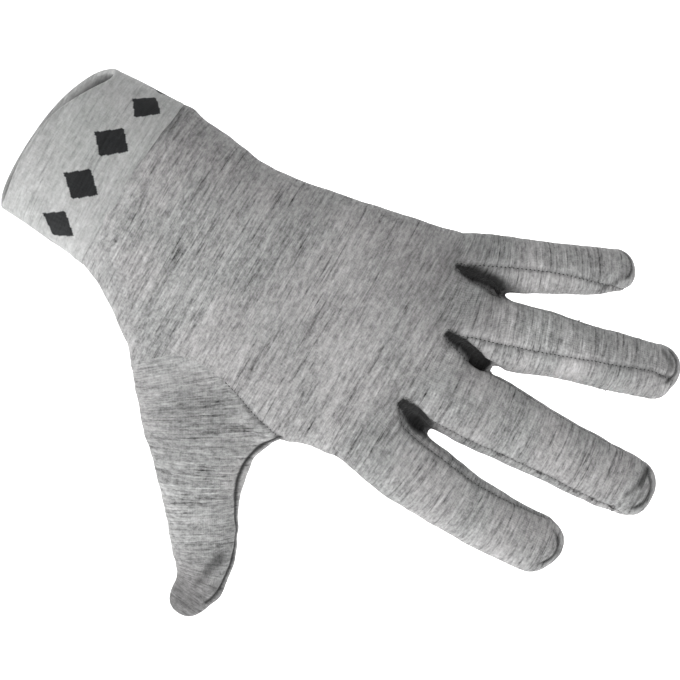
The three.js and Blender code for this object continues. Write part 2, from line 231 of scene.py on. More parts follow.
# The melange's layers of noise, per millimetre of the knit: how fine along and across its columns,
# roughness, shift, and weight in the tone
LAYERS = {
    "strands": (1.25, 0.055, 0.6, 0, 0.85),
    "threads": (1.7, 0.2, 0.6, 40, 0.95),
    "flecks": (1.5, 1.1, 0.7, 0, 1.0),
    "bands": (0.34, 0.03, 0.6, 0, 0.9),
    "gaps": (0.16, 0.05, 0.5, 0, 0),
    "patches": (0.05, 0.035, 0.5, 0, 0.75),
    "mottle": (0.75, 0.42, 0.6, 0, 1.35),
}

# The view: its turn in degrees, the point it looks at and its width at that point
VIEW_TILT, VIEW_MIDDLE, VIEW_WIDTH = 30.7, (118.4, 0, -10.4), 680 * 0.347
# The floor's level, the backdrop's distance and half their width, in metres
FLOOR_Z, BACKDROP_Y, STUDIO_HALF = -0.16, 3.6, 9
# The key light to the right of the middle, above it and in front of it, and its size, in metres
KEY_LIGHT = (-0.44, -0.22, 0.58, 0.36)


def size_property(name, description, value, least=0.0):
    """A length, from millimetres."""
    return FloatProperty(
        name=name, description=description, default=value * MM, min=least * MM, subtype="DISTANCE",
        unit="LENGTH", precision=5,
    )


def colour_property(name, description, value):
    return FloatVectorProperty(
        name=name, description=description, default=value, min=0, max=1, size=3, subtype="COLOR"
    )


def glow_property(name, description, value):
    return FloatProperty(name=name, description=description, default=value, min=0)


class GloveClothSettings(bpy.types.PropertyGroup):
    fineness: size_property("Fineness", "Edge length of the cloth's faces", 1.02, least=0.6)
    wall: size_property("Cloth thickness", "Thickness of one layer of knit", 1.1)
    cuff_wall: size_property("Cuff thickness", "Thickness of the doubled cloth of the cuff", 2.3)
    seam_depth: size_property("Seam depth", "How far the cloth sinks in along a seam", 0.5)
    body_colour: colour_property("Body colour", "Mean colour of the melange", (0.352, 0.351, 0.351))
    cuff_colour: colour_property("Cuff colour", "Mean colour of the cuff's melange", (0.45, 0.452, 0.45))
    band_colour: colour_property(
        "Band colour", "Colour of the lozenges knitted into the cuff", (0.022, 0.023, 0.024)
    )
    lozenges: IntProperty(
        name="Lozenges", description="How many lozenges go round the cuff", default=10, min=0, max=24
    )


class GloveStitchSettings(bpy.types.PropertyGroup):
    spacing: size_property("Spacing", "From one stitch to the next along a seam", 1.5)
    length: size_property("Length", "Length of the thread that shows in one stitch", 0.8)
    thread: size_property("Thread", "Thickness of the sewing thread", 0.5)
    colour: colour_property("Thread colour", "Colour of the sewing thread", (0.05, 0.05, 0.05))


class GloveStageSettings(bpy.types.PropertyGroup):
    distance: size_property("Camera distance", "From the camera to the hand", 900)
    key_power: FloatProperty(
        name="Key light", description="Power of the large soft light", default=7.4, unit="POWER"
    )
    fill: glow_property("Fill light", "Strength of the light from all round", 0.47)
    floor_glow: glow_property("Floor glow", "Light that the lit floor gives off", 0.75)
    wall_glow: glow_property("Backdrop glow", "Light that the lit backdrop gives off", 0.75)
    floor_colour: colour_property("Floor colour", "Colour of the floor and the backdrop", (0.93,) * 3)


# The cloth's shape


def squared(value):
    return np.sign(value) * np.abs(value) ** (2 / ROUNDNESS)


def bell(value, reach):
    """1 at nought, falling off to both sides."""
    return np.exp(-((value / reach) ** 2))


def ramp(value, start, run):
    """0 up to the start, then evenly up to 1."""
    return np.clip((value - start) / run, 0, 1)


def gap_to(flat, line):
    """How far points of the hand's plane lie from a line through some others."""
    best = np.full(len(flat), 1e9)
    for start, end in zip(line[:-1], line[1:]):
        way = end - start
        share = np.clip(((flat - start) @ way) / (way @ way), 0, 1)
        off = flat - start - share[:, None] * way
        best = np.minimum(best, np.hypot(off[:, 0], off[:, 1]))
    return best


def eased(rows, at, blur):
    """The columns of a table at the given places, with the corners between its rows rounded off."""
    table = np.array(rows, float)
    fine = np.linspace(table[0, 0], table[-1, 0], 801)
    step = fine[1] - fine[0]
    reach = max(1, int(blur / step))
    columns = []
    for column in range(1, table.shape[1]):
        values = np.interp(fine, table[:, 0], table[:, column])
        first, last = values[1] - values[0], values[-1] - values[-2]
        ramp = np.arange(1, reach + 1)
        for _ in range(2):
            padded = np.concatenate([values[0] - first * ramp[::-1], values, values[-1] + last * ramp])
            total = np.cumsum(np.concatenate([[0], padded]))
            values = (total[2 * reach + 1:] - total[: -2 * reach - 1]) / (2 * reach + 1)
        columns.append(np.interp(at, fine, values))
    return columns


def loft(rings):
    """A closed skin through rings of points, with a fan over each end."""
    rows, sides, _ = rings.shape
    points = np.concatenate([rings.reshape(-1, 3), rings[0].mean(0)[None], rings[-1].mean(0)[None]])
    faces = []
    for row in range(rows - 1):
        for i in range(sides):
            a, b = row * sides + i, row * sides + (i + 1) % sides
            faces.append((a, a + sides, b + sides, b))
    first, last = rows * sides, rows * sides + 1
    for i in range(sides):
        j = (i + 1) % sides
        faces.append((first, i, j))
        faces.append((last, (rows - 1) * sides + j, (rows - 1) * sides + i))
    return points, faces


def hand_rings(sides=110):
    along = np.linspace(HAND_SECTIONS[0][0], HAND_SECTIONS[-1][0], 130)
    little, thumb, back, palm, arc = eased(HAND_SECTIONS, along, 0.018)
    turn = np.linspace(0, 2 * np.pi, sides, endpoint=False)
    across, deep = squared(np.cos(turn)), squared(np.sin(turn))
    reach = np.where(across > 0, little[:, None], thumb[:, None]) * HAND_WIDTH
    z = across * reach
    middle = (palm - back)[:, None] * HAND_DEPTH / 2
    y = middle + deep * (palm + back)[:, None] * HAND_DEPTH / 2
    fall = arc[:, None] * KNUCKLE_ARC * (z / (HAND_WIDTH / 2)) ** 2
    x = CUFF_LENGTH + along[:, None] * HAND_LENGTH - fall
    return np.stack([x, y, z], 2)


def turned(angle, roll):
    """The directions along, across and through a digit, for its angle in the hand's plane and its roll."""
    about = Matrix.Rotation(math.radians(-angle), 3, "Y") @ Matrix.Rotation(math.radians(-roll), 3, "X")
    return [np.array(about @ Vector(v)) for v in ((1, 0, 0), (0, 0, 1), (0, 1, 0))]


class Digit:
    """A finger or the thumb: its middle line, the directions round it and its half sizes, in millimetres."""

    def __init__(self, root, length, tip, table, roll):
        body = np.linspace(0, 1 - tip / length, 70)
        angle, slope, width, depth, sink = table(body)
        closing = (np.pi / 2) * np.linspace(0, 0.985, 16)[1:]
        closed = np.cos(closing) ** (2 / ROUNDNESS)
        reach = body[-1] + tip / length * np.sin(closing) ** (2 / ROUNDNESS)
        stay = np.ones(len(closing))
        angle, slope, sink = [np.concatenate([v, v[-1] * stay]) for v in (angle, slope, sink)]
        self.width = np.concatenate([width, width[-1] * closed]) / 2
        self.depth = np.concatenate([depth, depth[-1] * closed]) / 2
        self.length = length
        self.along = np.concatenate([body, reach]) * length
        run = np.diff(self.along, prepend=0)
        lean = np.radians(np.concatenate([angle[:1], (angle[1:] + angle[:-1]) / 2]))
        drop = np.radians(np.concatenate([slope[:1], (slope[1:] + slope[:-1]) / 2]))
        steps = np.stack(
            [run * np.cos(lean) * np.cos(drop), run * np.sin(drop), run * np.sin(lean) * np.cos(drop)], 1
        )
        self.root = np.array(root, float)
        self.at = self.root + np.cumsum(steps, 0)
        self.at[:, 1] += sink
        frames = [turned(value, roll) for value in angle]
        self.across = np.array([f[1] for f in frames])
        self.through = np.array([f[2] for f in frames])
        self.tangent = np.gradient(self.at, axis=0)
        self.tangent /= np.linalg.norm(self.tangent, axis=1)[:, None]

    def rings(self, sides=64):
        turn = np.linspace(0, 2 * np.pi, sides, endpoint=False)
        across, deep = squared(np.cos(turn)), squared(np.sin(turn))
        wide = self.across[:, None] * (across[None] * self.width[:, None])[:, :, None]
        thick = self.through[:, None] * (deep[None] * self.depth[:, None])[:, :, None]
        return self.at[:, None] + wide + thick

    def around(self, points):
        """How far along the digit each point lies, and how far across and through it from its middle."""
        gaps = ((points[:, None] - self.at[None, ::2]) ** 2).sum(2)
        nearest = gaps.argmin(1) * 2
        off = points - self.at[nearest]
        along = self.along[nearest] + (off * self.tangent[nearest]).sum(1)
        return along, (off * self.across[nearest]).sum(1), (off * self.through[nearest]).sum(1)


def root_of(along, across, level):
    return CUFF_LENGTH + along * HAND_LENGTH, level * HAND_DEPTH, across * HAND_WIDTH


def make_finger(name):
    along, across, level, length, width, depth, spread, bend, dip, curl, roll = FINGERS[name]

    def table(share):
        wide, thick = eased(FINGER_SECTIONS, share, 0.05)
        return spread + bend * (share - 0.5), dip + curl * share, wide * width, thick * depth, share * 0

    return Digit(root_of(along, across, level), length, FINGER_TIP * width, table, roll)


def make_thumb():
    along, across, level, length, width, depth = THUMB

    def table(share):
        angle, wide, thick, sink = eased(THUMB_SECTIONS, share, 0.045)
        return angle, share * 0, wide * width, thick * depth, sink * depth

    return Digit(root_of(along, across, level), length, THUMB_TIP * width, table, 0)


class Parting:
    """The line between two fingers, in the plane of the hand, that parts the halves of their strip."""

    def __init__(self, root, crotch, upper, lower):
        self.root, self.crotch = [
            np.array([CUFF_LENGTH + along * HAND_LENGTH, across * HAND_WIDTH])
            for along, across in (root, crotch)
        ]
        tip = (upper.at[-1] + lower.at[-1])[[0, 2]] / 2
        self.rows = np.array([2 * self.root - self.crotch, self.root, self.crotch, 2 * tip - self.crotch])

    def above(self, points):
        """How far the points lie above the line, and less than nothing below it."""
        flat = points[:, [0, 2]]
        gap = gap_to(flat, self.rows)
        return np.where(flat[:, 1] > np.interp(flat[:, 0], self.rows[:, 0], self.rows[:, 1]), gap, -gap)

    def past(self, points):
        """How far along the line from its root the points lie."""
        way = self.crotch - self.root
        return (points[:, [0, 2]] - self.root) @ (way / np.linalg.norm(way))


class Pattern:
    """Where every point of the glove's skin lies in its cloth: on which piece, and how far from a seam."""

    def __init__(self):
        self.fingers = {name: make_finger(name) for name in FINGERS}
        self.thumb = make_thumb()
        self.partings = [
            Parting(strip[6], strip[7], self.fingers[strip[0]], self.fingers[strip[3]]) for strip in STRIPS
        ]
        seam = np.array(THUMB_SEAM)
        line = np.stack([CUFF_LENGTH + seam[:, 0] * HAND_LENGTH, seam[:, 1] * HAND_WIDTH], 1)
        place = np.linspace(line[0, 0], line[-1, 0], 90)
        self.seam_line = np.stack([place, eased(line, place, 4.0)[0]], 1)

    def thumb_side(self, points):
        """How far inside the thumb's base seam the points lie."""
        flat = points[:, [0, 2]]
        gap = gap_to(flat, self.seam_line)
        below = np.interp(flat[:, 0], self.seam_line[:, 0], self.seam_line[:, 1]) > flat[:, 1]
        inside = below & (flat[:, 0] > self.seam_line[0, 0] - 6)
        return np.where(inside, gap, -gap)

    def cuff_side(self, points):
        """How far past the cuff's seam the points lie."""
        return points[:, 0] - (CUFF_LENGTH - 1.6 + SEAM_SLANT * points[:, 2] / 33)

    def finger_side(self, finger, start, side, turns, points):
        """How far inside one finger's half of a strip the points lie."""
        along, across, through = finger.around(points)
        share = (along / finger.length - start) / (1 - start)
        table = np.array(STRIP_SECTIONS, float)
        turned = turns[0] + (turns[1] - turns[0]) * np.clip(share, 0, 1) ** 3
        back = np.interp(share, table[:, 0], table[:, 1]) + turned
        palm = np.interp(share, table[:, 0], table[:, 2]) + np.maximum(turned, 0)
        turn = np.degrees(np.arctan2(-side * across, -through))
        turn = np.where(turn < -90, turn + 360, turn)
        reach = np.hypot(across, through)
        edge = np.minimum(turn - back, palm - turn) * np.pi / 180 * reach
        ends = np.minimum(share, table[-1, 0] - share) * (1 - start) * finger.length
        return np.minimum(edge, ends)

    def strip_sides(self, points):
        """How far inside each strip the points lie, how dark the painted shade in the hollow at its root is,
        and how deep.
        """
        sides, hollows, dents = [], [], []
        for strip, parting, (width, spread, shade, after, depth) in zip(STRIPS, self.partings, HOLLOW):
            above, past = parting.above(points), parting.past(points)
            length = np.linalg.norm(parting.crotch - parting.root)
            high = self.finger_side(self.fingers[strip[0]], strip[1], 1, strip[2], points)
            low = self.finger_side(self.fingers[strip[3]], strip[4], -1, strip[5], points)
            both = np.minimum(high, low)
            side = np.maximum(np.maximum(np.minimum(high, above), np.minimum(low, -above)), both)
            near = np.abs(above) < HOLLOW_LIMIT
            fade = ramp(length + shade - past, 0, 11) * ramp(past, -2.5, 4)
            # Painted shade in the hollow at the root of the gap, spreading to both sides of the parting line
            hollow = bell(above, np.where(above > 0, *HOLLOW_REACH) * spread) * fade * near
            share = ramp(past, -LEAF_START, length + 5)
            leaf = width * np.sin(np.pi * share**0.75) ** 0.4 - np.abs(above - 0.3)
            leaf = np.where((points[:, 1] < 3) & (past > -LEAF_START), leaf, -9)
            # The leaf is filled with the hollow's painted shade
            hollow = np.maximum(hollow * ramp(past, 0, 3), ramp(leaf, 0.15, 0.7))
            pit = np.maximum(hollow, bell(above, 1.7) * ramp(past, 0, 3) * near)
            pit = pit * (0.45 + 0.55 * ramp(past, 2, 6))
            sides.append(np.maximum(side, leaf))
            hollows.append(hollow)
            dents.append(depth * pit * np.clip((length + after - past) / 7, 0.1, 1))
        return sides, hollows, dents

    def thumb_cloth(self, points):
        """The place of the thumb's points in its own knit."""
        along, across, through = self.thumb.around(points)
        return np.stack([along + THUMB_PLACE[0], across + THUMB_PLACE[1], through], 1)

    def cloth(self, points):
        """Each point's place in the knit: along its columns, and twice across them."""
        owner = np.zeros(len(points), int)
        for i, parting in enumerate(self.partings):
            owner[parting.above(points) < 0] = i + 1
        place = points[:, [0, 2, 1]].copy()
        for i, finger in enumerate(self.fingers.values()):
            along, across, through = finger.around(points)
            share = ramp(along, 9, 28)
            share = (share * share * (3 - 2 * share))[:, None]
            own = np.stack([finger.root[0] + along, finger.root[2] + across, finger.root[1] + through], 1)
            mine = owner == i
            place[mine] = (place * (1 - share) + own * share)[mine]
        return place


# Meshes


def mesh_of(name, points, faces, edges=()):
    mesh = bpy.data.meshes.new(name)
    mesh.from_pydata([tuple(p) for p in points], edges, faces)
    mesh.update()
    return mesh


def piece_of(name, mesh):
    piece = bpy.data.objects.new(name, mesh)
    bpy.context.collection.objects.link(piece)
    return piece


def settled(piece):
    """Turns a piece's modifiers into plain mesh."""
    graph = bpy.context.evaluated_depsgraph_get()
    plain = bpy.data.meshes.new_from_object(piece.evaluated_get(graph), depsgraph=graph)
    old = piece.data
    piece.modifiers.clear()
    piece.data = plain
    plain.name = old.name
    bpy.data.meshes.remove(old)
    return piece


def read(items, key, width, kind=float):
    """One value of each of a mesh's points or edges."""
    values = np.empty(len(items) * width, kind)
    items.foreach_get(key, values)
    return values.reshape(-1, width)


def move_points(mesh, points):
    mesh.vertices.foreach_set("co", points.ravel())
    mesh.update()


def summed(owners, vectors, count):
    """For each of so many points, the sum of the vectors that it owns."""
    return np.stack([np.bincount(owners, vectors[:, axis], count) for axis in range(3)], 1)


def relaxed(points, edges, factor):
    """The points, moved towards the middle of their neighbours."""
    total = np.zeros_like(points)
    count = np.zeros(len(points))
    for a, b in ((0, 1), (1, 0)):
        total += summed(edges[:, a], points[edges[:, b]], len(points))
        count += np.bincount(edges[:, a], minlength=len(points))
    move = total / np.maximum(count, 1)[:, None] - points
    return points + move * factor


def drawn_to_line(points, edges, field, chosen):
    """Moves the chosen points along the skin to where the field is nought."""
    slope = np.zeros_like(points)
    count = np.zeros(len(points))
    way = points[edges[:, 1]] - points[edges[:, 0]]
    rise = (field[edges[:, 1]] - field[edges[:, 0]]) / np.maximum((way**2).sum(1), 1e-9)
    for end in (0, 1):
        slope += summed(edges[:, end], way * rise[:, None], len(points))
        count += np.bincount(edges[:, end], minlength=len(points))
    slope *= 2 / np.maximum(count, 1)[:, None]
    move = -field[:, None] * slope / np.maximum((slope**2).sum(1), 0.05)[:, None]
    size = np.linalg.norm(move, axis=1)
    move *= np.minimum(1, 1.1 / np.maximum(size, 1e-9))[:, None]
    made = points.copy()
    made[chosen] += move[chosen]
    return made


def web_rings():
    """The cloth that spans the corner between the thumb and the index finger."""
    start, end = np.array(WEB)
    turn = np.linspace(0, 2 * np.pi, 24, endpoint=False)
    way = (end - start) / np.linalg.norm(end - start)
    across = np.cross(way, (0, 1, 0))
    through = np.cross(across, way)
    rings = []
    for bend in np.linspace(-np.pi / 2, np.pi / 2, 15)[1:-1]:
        middle = (start + end) / 2 + (end - start) / 2 * np.sin(bend)
        share = np.cos(bend) ** 0.4
        wide = across * ((WEB_BELLY + np.cos(turn) * WEB_ACROSS) * share)[:, None]
        rings.append(middle + wide + through * (np.sin(turn) * WEB_THROUGH * share)[:, None])
    return np.array(rings)


def glove_skin(fineness):
    """One closed skin round the hand, its fingers and its thumb, in millimetres."""
    pattern = Pattern()
    points, faces = [], []
    solids = [hand_rings(), pattern.thumb.rings(76)]
    solids += [finger.rings() for finger in pattern.fingers.values()]
    solids.append(web_rings())
    for rings in solids:
        some, sides = loft(rings)
        start = sum(len(p) for p in points)
        points.append(some)
        faces += [tuple(i + start for i in face) for face in sides]
    skin = piece_of("glove_skin", mesh_of("glove_skin", np.concatenate(points) * MM, faces))
    remesh = skin.modifiers.new("Union", "REMESH")
    remesh.mode = "VOXEL"
    remesh.voxel_size = fineness
    settled(skin)
    mesh = skin.data
    where = read(mesh.vertices, "co", 3) / MM
    edges = read(mesh.edges, "vertices", 2, int)
    for _ in range(6):
        where = relaxed(where, edges, 0.5)
        where = relaxed(where, edges, -0.52)
    # The cloth spans the creases where the digits meet the hand, and less so between the fingers.
    quads = np.array([tuple(polygon.vertices) for polygon in mesh.polygons if len(polygon.vertices) == 4])
    _, hollows, _ = pattern.strip_sides(where)
    taut = 1 - np.max(hollows, axis=0)
    first = where.copy()
    for _ in range(46):
        out = outward(where, quads)
        rise = ((relaxed(where, edges, 1.0) - where) * out).sum(1)
        rise = np.maximum(rise, 0) * taut
        where = where + out * rise[:, None]
        grown = ((where - first) * out).sum(1)
        where -= out * np.maximum(grown - 3.2, 0)[:, None]
    for _ in range(3):
        where = relaxed(where, edges, 0.4)
        where = relaxed(where, edges, -0.41)
    return pattern, skin, where, edges


def outward(points, quads):
    """The direction out of the skin at each point."""
    across = np.cross(points[quads[:, 2]] - points[quads[:, 0]], points[quads[:, 3]] - points[quads[:, 1]])
    total = np.zeros_like(points)
    for corner in range(4):
        total += summed(quads[:, corner], across, len(points))
    return total / np.maximum(np.linalg.norm(total, axis=1), 1e-9)[:, None]


def wandering(points, size, height):
    """A smooth random height at each point."""
    return np.array([noise.noise(Vector(p) / size) for p in points]) * height


def keep_largest_patch(piece_of_face, edge_faces, key):
    """Gives the specks of a piece that don't touch its largest patch to the hand shell."""
    beside = {}
    for pair in edge_faces.values():
        if len(pair) == 2 and piece_of_face[pair[0]] == key and piece_of_face[pair[1]] == key:
            beside.setdefault(pair[0], []).append(pair[1])
            beside.setdefault(pair[1], []).append(pair[0])
    left = {int(face) for face in np.flatnonzero(piece_of_face == key)}
    patches = []
    for start in sorted(left):
        if start not in left:
            continue
        left.discard(start)
        patch, open_faces = [start], [start]
        while open_faces:
            for face in beside.get(open_faces.pop(), []):
                if face in left:
                    left.discard(face)
                    patch.append(face)
                    open_faces.append(face)
        patches.append(patch)
    patches.sort(key=len)
    for patch in patches[:-1]:
        piece_of_face[patch] = 0


def faces_by_edge(faces):
    """The faces at each edge."""
    found = {}
    for index, face in enumerate(faces):
        for a, b in zip(face, face[1:] + face[:1]):
            found.setdefault((min(a, b), max(a, b)), []).append(index)
    return found


def at_rim(pair, piece_of_face, key):
    """Whether the two faces at an edge lie on both sides of a piece's rim."""
    return len(pair) == 2 and (piece_of_face[pair[0]] == key) != (piece_of_face[pair[1]] == key)


def cut_into_pieces(values, faces, edge_faces):
    """The number of each face's piece."""
    piece_of_face = np.full(len(faces), SHELL)
    means = [np.array([value[list(face)].mean() for face in faces]) for value in values]
    for key in range(THUMB_PIECE, len(PIECES)):
        piece_of_face[means[key] > 0] = key
    piece_of_face[means[0] < 0] = CUFF_PIECE
    for key in (*range(FIRST_STRIP, len(PIECES)), THUMB_PIECE):
        keep_largest_patch(piece_of_face, edge_faces, key)
    return piece_of_face


def with_rims_in_line(where, edges, faces, edge_faces, piece_of_face, fields):
    """Draws the points on the pieces' rims to the pattern's lines, along the skin, and measures again."""
    tree = BVHTree.FromPolygons([tuple(p) for p in where], faces)
    on_rim = np.zeros(len(where), bool)
    values, hollow, dent = fields(where)
    for _ in range(3):
        for key, value in enumerate(values):
            own = key if key else CUFF_PIECE
            rim = {point for edge, pair in edge_faces.items() if at_rim(pair, piece_of_face, own)
                   for point in edge}
            chosen = np.zeros(len(where), bool)
            chosen[list(rim)] = True
            where = drawn_to_line(where, edges, value, chosen)
            on_rim |= chosen
        for index in np.flatnonzero(on_rim):
            where[index] = tree.find_nearest(Vector(where[index]))[0]
        beside = ~on_rim & (np.min(np.abs(np.array(values)), axis=0) < 3)
        where[beside] = relaxed(where, edges, 0.5)[beside]
        values, hollow, dent = fields(where)
    return where, values, hollow, dent


def seam_gaps(where, values, inner):
    """How far each point lies from a seam, and how dark the thumb's inner seam makes it."""
    loose = LOOSE_GAP * (1 - ramp(where[:, 0], TIGHT_FROM, TIGHT_RUN))
    base = np.abs(values[THUMB_PIECE])
    seam = np.minimum(np.min(np.abs(np.array(values[FIRST_STRIP:])), axis=0), base + loose)
    ridge = np.zeros(len(where))
    for chunk in np.array_split(np.flatnonzero((values[THUMB_PIECE] > 0) | (base < 3)), 12):
        gaps = np.sqrt(((where[chunk][:, None] - inner[None, :, 0]) ** 2).sum(2)).min(1)
        seam[chunk] = np.minimum(seam[chunk], gaps)
        ridge[chunk] = 0.8 * bell(gaps, 1.35)
    return seam, ridge


def depth_of_shade(pattern, where, normals, on_thumb, roots):
    """The painted shade on the cloth in its folds and hollows, round the roots of the gaps and at the
    thumb's tip, from the painted shade at the roots of the gaps on.
    """
    deep = roots
    for parting in pattern.partings:
        off = np.hypot(where[:, 0] - parting.root[0] + 1, where[:, 2] - parting.root[1])
        deep = np.maximum(deep, 0.34 * bell(off, 8.5) * (where[:, 1] < 0))
    end = ramp(pattern.thumb.around(where)[0] / pattern.thumb.length, 0.79, 0.1) * on_thumb
    deep = np.maximum(deep, 0.46 * end)
    for x, z, far_x, far_z, reach, depth in TIP_SHADE_LINES:
        off = gap_to(where[:, [0, 2]], np.array([(x, z), (far_x, far_z)]))
        deep = np.maximum(deep, depth * bell(off, reach) * (normals[:, 1] < 0.2))
    return deep


def spots(where, table):
    """The sum of round spots on the cloth, whose rows hold X, Z, reach and height."""
    total = np.zeros(len(where))
    for x, z, reach, height in table:
        total += height * bell(np.hypot(where[:, 0] - x, where[:, 2] - z), reach)
    return total


def make_cloth_pieces(settings):
    """The cloth's pieces, the rows of points along their rims, and the skin that they are cut from."""
    pattern, skin, where, edges = glove_skin(settings.fineness)
    mesh = skin.data
    faces = [tuple(polygon.vertices) for polygon in mesh.polygons]

    def fields(points):
        sides, hollows, dents = pattern.strip_sides(points)
        values = [pattern.cuff_side(points), pattern.thumb_side(points)] + sides
        return values, np.max(hollows, axis=0), np.max(dents, axis=0)

    edge_faces = faces_by_edge(faces)
    piece_of_face = cut_into_pieces(fields(where)[0], faces, edge_faces)
    where, values, hollow, dent = with_rims_in_line(
        where, edges, faces, edge_faces, piece_of_face, fields
    )
    move_points(mesh, where * MM)
    normals = read(mesh.vertices, "normal", 3)

    on_thumb = values[THUMB_PIECE] > 0
    in_strip = ramp(np.max(np.array(values[FIRST_STRIP:]), axis=0), -0.5, 1.2)
    inner = thumb_seam_path(where, faces)
    seam, ridge = seam_gaps(where, values, inner)
    tuck = pattern.cuff_side(where)
    shaded = ramp(where[:, 2], -22, 40)
    creases = tip_creases(pattern, where)
    # The colour is darkened as painted shade in the hollows and folds, in the creases round the fingertips
    # and at the tuck of the cuff's seam, more so towards the little finger, and it is darkened along the
    # thumb's inner seam
    deep = depth_of_shade(pattern, where, normals, on_thumb, hollow * (0.22 + 0.78 * in_strip))
    for more in (ridge, 0.5 * bell(tuck, 1.7) * (0.2 + 0.8 * shaded), 0.85 * creases):
        deep = np.maximum(deep, more)
    hand_place, thumb_place = pattern.cloth(where), pattern.thumb_cloth(where)
    # These fields take to the material the distance from the seams, the depth of the painted shade, and the
    # tone with its spots of painted light and shade
    painted_light_fields = {"seam": np.minimum(seam, 8), "deep": deep, "tone": 1 + spots(where, PAINTED_LIGHT_SPOTS)}

    sunk = bell(seam, SEAM_WIDTH) - PROUD_SHARE * bell(seam - PROUD_AT, PROUD_WIDTH)
    lift = -sunk * settings.seam_depth / MM
    for shift, size, height in UNEVEN:
        lift += wandering(where + shift, size, height)
    # The courses of the knit wander a little, most of all on the thumb.
    rows = np.where(on_thumb[:, None], thumb_place, hand_place) / np.array([4.2, 26.0, 26.0])
    lift += wandering(rows + 7, 1.0, 0.42) * (0.35 + 0.65 * ramp(values[THUMB_PIECE] / 12, -0.3, 1))
    lift -= dent * in_strip + 0.35 * creases
    lift -= 0.56 * bell(tuck, 2.6) * (0.33 + 0.67 * shaded)
    where = where + normals * (lift + spots(where, SWELLS))[:, None]

    pieces, rims = [], {}
    for key, name in enumerate(PIECES):
        chosen = [faces[i] for i in np.flatnonzero(piece_of_face == key)]
        used = np.unique(np.concatenate([np.array(face) for face in chosen]))
        index = {int(v): i for i, v in enumerate(used)}
        made = mesh_of(name, where[used] * MM, [tuple(index[v] for v in face) for face in chosen])
        own = (thumb_place if key == THUMB_PIECE else hand_place)[used].copy()
        if key >= FIRST_STRIP:
            own += (0, STRIP_SHIFT * key, 0)
        write_attribute(made, "cloth", "FLOAT_VECTOR", own)
        for mark, value in painted_light_fields.items():
            write_attribute(made, mark, "FLOAT", value[used])
        made.shade_smooth()
        piece = piece_of("cloth_" + name, made)
        wall = piece.modifiers.new("Wall", "SOLIDIFY")
        wall.thickness = settings.wall
        wall.offset = -1
        settled(piece)
        piece.data.shade_smooth()
        piece.data.set_sharp_from_angle(angle=math.radians(50))
        pieces.append(piece)
        if key != SHELL:
            rims[name] = loops_of(
                edge for edge, pair in edge_faces.items()
                if at_rim(pair, piece_of_face, key) and CUFF_PIECE not in piece_of_face[pair]
            )
    bpy.data.objects.remove(skin)
    tree = BVHTree.FromPolygons([tuple(p) for p in where], faces)
    found = [tree.find_nearest(Vector(point)) for point in inner[:, 0]]
    inner = np.array([(tuple(place), tuple(out)) for place, out, _, _ in found])
    return pieces, rims, where, normals, inner


def thumb_seam_path(where, faces):
    """The seam that runs up the thumb's inner side to its tip: points on the skin, and directions out."""
    line = np.array(INNER_SEAM)
    place = np.concatenate([[0], np.cumsum(np.linalg.norm(np.diff(line, axis=0), axis=1))])
    even = np.linspace(0, place[-1], 150)
    path = np.stack(eased(np.column_stack([place, line]), even, 2.5), 1)
    tree = BVHTree.FromPolygons([tuple(p) for p in where], faces)
    found = []
    for x, z in path:
        hit = tree.ray_cast(Vector((x, -60, z)), Vector((0, 1, 0)))
        if hit[0] is None:
            hit = tree.find_nearest(Vector((x, 1.0, z)))
        found.append((tuple(hit[0]), tuple(hit[1])))
    return np.array(found)


def tip_creases(pattern, points):
    """Where the cloth is gathered round each fingertip."""
    most = np.zeros(len(points))
    for finger in pattern.fingers.values():
        along, across, through = finger.around(points)
        half = finger.width[60]
        ahead = np.maximum(along - finger.length + half * 0.95, 0) / half
        reach = (ahead**ROUNDNESS + np.abs(across / half) ** ROUNDNESS) ** (1 / ROUNDNESS)
        rings = bell(reach - 0.66, 0.09) + 0.6 * bell(reach - 0.46, 0.05)
        near = (through < 2) * (np.hypot(across, through) < 2 * half)
        side = np.clip(0.9 - 0.1 * across / half, 0.2, 1) * near
        most = np.maximum(most, rings * ramp(ahead, 0.05, 0.4) * side)
    return most


def loops_of(edges):
    """Rows of points along a set of edges, and whether each is closed."""
    after = {}
    for a, b in edges:
        after.setdefault(a, []).append(b)
        after.setdefault(b, []).append(a)
    seen, loops = set(), []
    for start in after:
        if start in seen:
            continue
        row, last, now = [start], None, start
        seen.add(start)
        while True:
            options = [v for v in after[now] if v != last and v not in seen]
            if not options:
                break
            last, now = now, options[0]
            seen.add(now)
            row.append(now)
        if len(row) > 12:
            loops.append((row, start in after[now]))
    return loops


def write_attribute(mesh, name, kind, values):
    attribute = mesh.attributes.new(name, kind, "POINT")
    key = "vector" if kind == "FLOAT_VECTOR" else "value"
    attribute.data.foreach_set(key, np.ascontiguousarray(values, dtype=np.float32).ravel())


